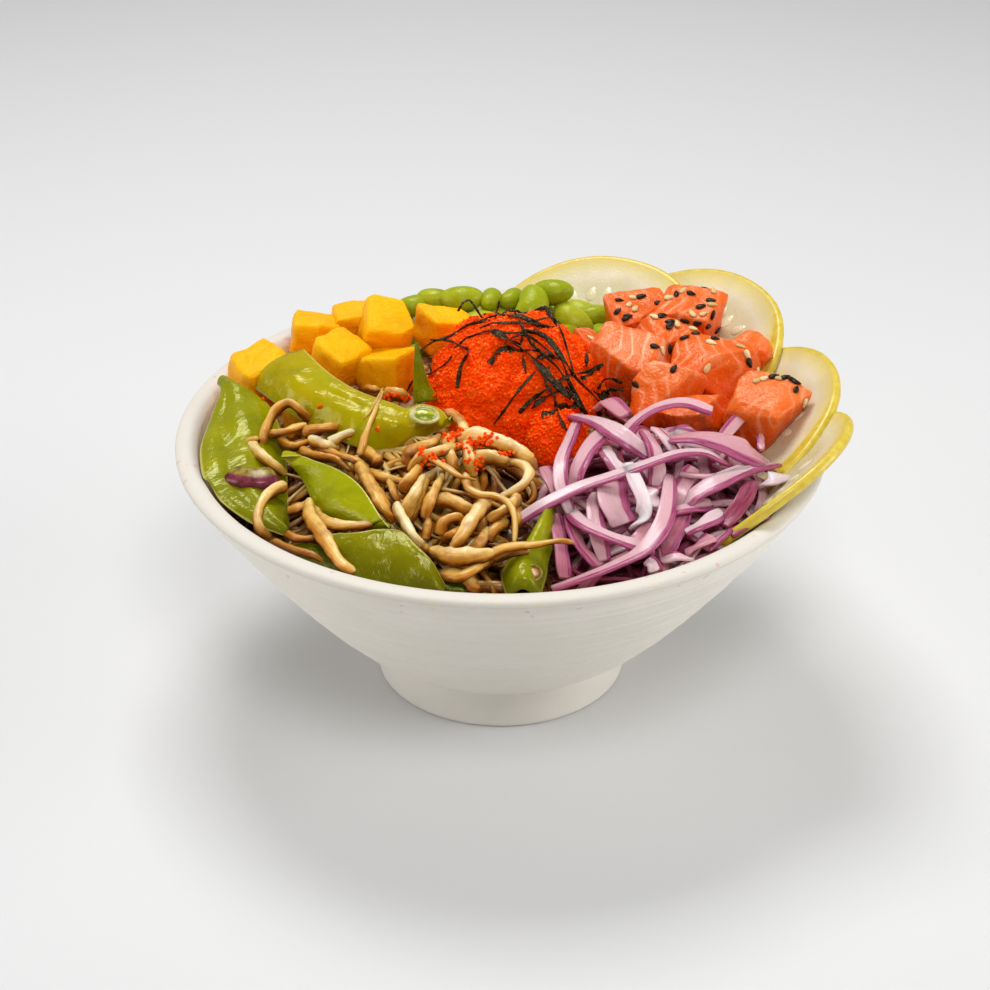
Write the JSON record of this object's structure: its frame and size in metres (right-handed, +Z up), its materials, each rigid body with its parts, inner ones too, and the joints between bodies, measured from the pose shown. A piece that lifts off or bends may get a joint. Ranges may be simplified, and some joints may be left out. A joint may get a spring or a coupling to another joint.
{
  "type": "quinoa poke bowl",
  "caption": "Round takeaway bowl on a foot, filled with quinoa and topped with mango, salmon, roe, soybeans, squash slices, onion and bean sprouts.",
  "frame": {"origin": "on the table, under the middle of the bowl's foot", "axes": "+Z up, +X to the right and +Y to the back as the bowl is seen in the picture, with the sprouts and onion at the front"},
  "size_m": [0.2049, 0.2, 0.109],
  "materials": {
    "fibre": "matte pressed plant fibre",
    "quinoa": "moist grain",
    "mango": "wet cut fruit",
    "salmon": "glossy raw fish with pale fat lines",
    "squash": "wet cut vegetable, yellow skin at the edge",
    "soybean": "glossy bean",
    "roe": "wet sparkling roe",
    "pod": "oiled pod",
    "sprout": "glossy stir-fried shreds",
    "onion": "translucent wet shreds"
  },
  "bodies": {
    "root": {"bowl": "fibre", "squash_slice_1": "squash", "squash_slice_2": "squash", "squash_slice_3": "squash", "squash_slice_4": "squash", "mango_1": "mango", "mango_2": "mango", "mango_3": "mango", "mango_4": "mango", "mango_5": "mango", "mango_6": "mango", "mango_7": "mango", "mango_8": "mango", "salmon_1": "salmon", "salmon_2": "salmon", "salmon_3": "salmon", "salmon_4": "salmon", "salmon_5": "salmon", "salmon_6": "salmon", "salmon_7": "salmon", "salmon_8": "salmon", "salmon_9": "salmon", "salmon_10": "salmon", "snow_pea_1": "pod", "snow_pea_2": "pod", "snow_pea_3": "pod", "snow_pea_4": "pod", "snow_pea_5": "pod", "snow_pea_6": "pod", "snow_pea_7": "pod", "snow_pea_8": "pod", "onion_wedge": "onion", "roe_mound": "roe", "soybean_heap": "soybean", "red_onion_heap": "onion", "bean_sprout_heap": "sprout", "quinoa_bed": "quinoa"}
  },
  "joints": []
}
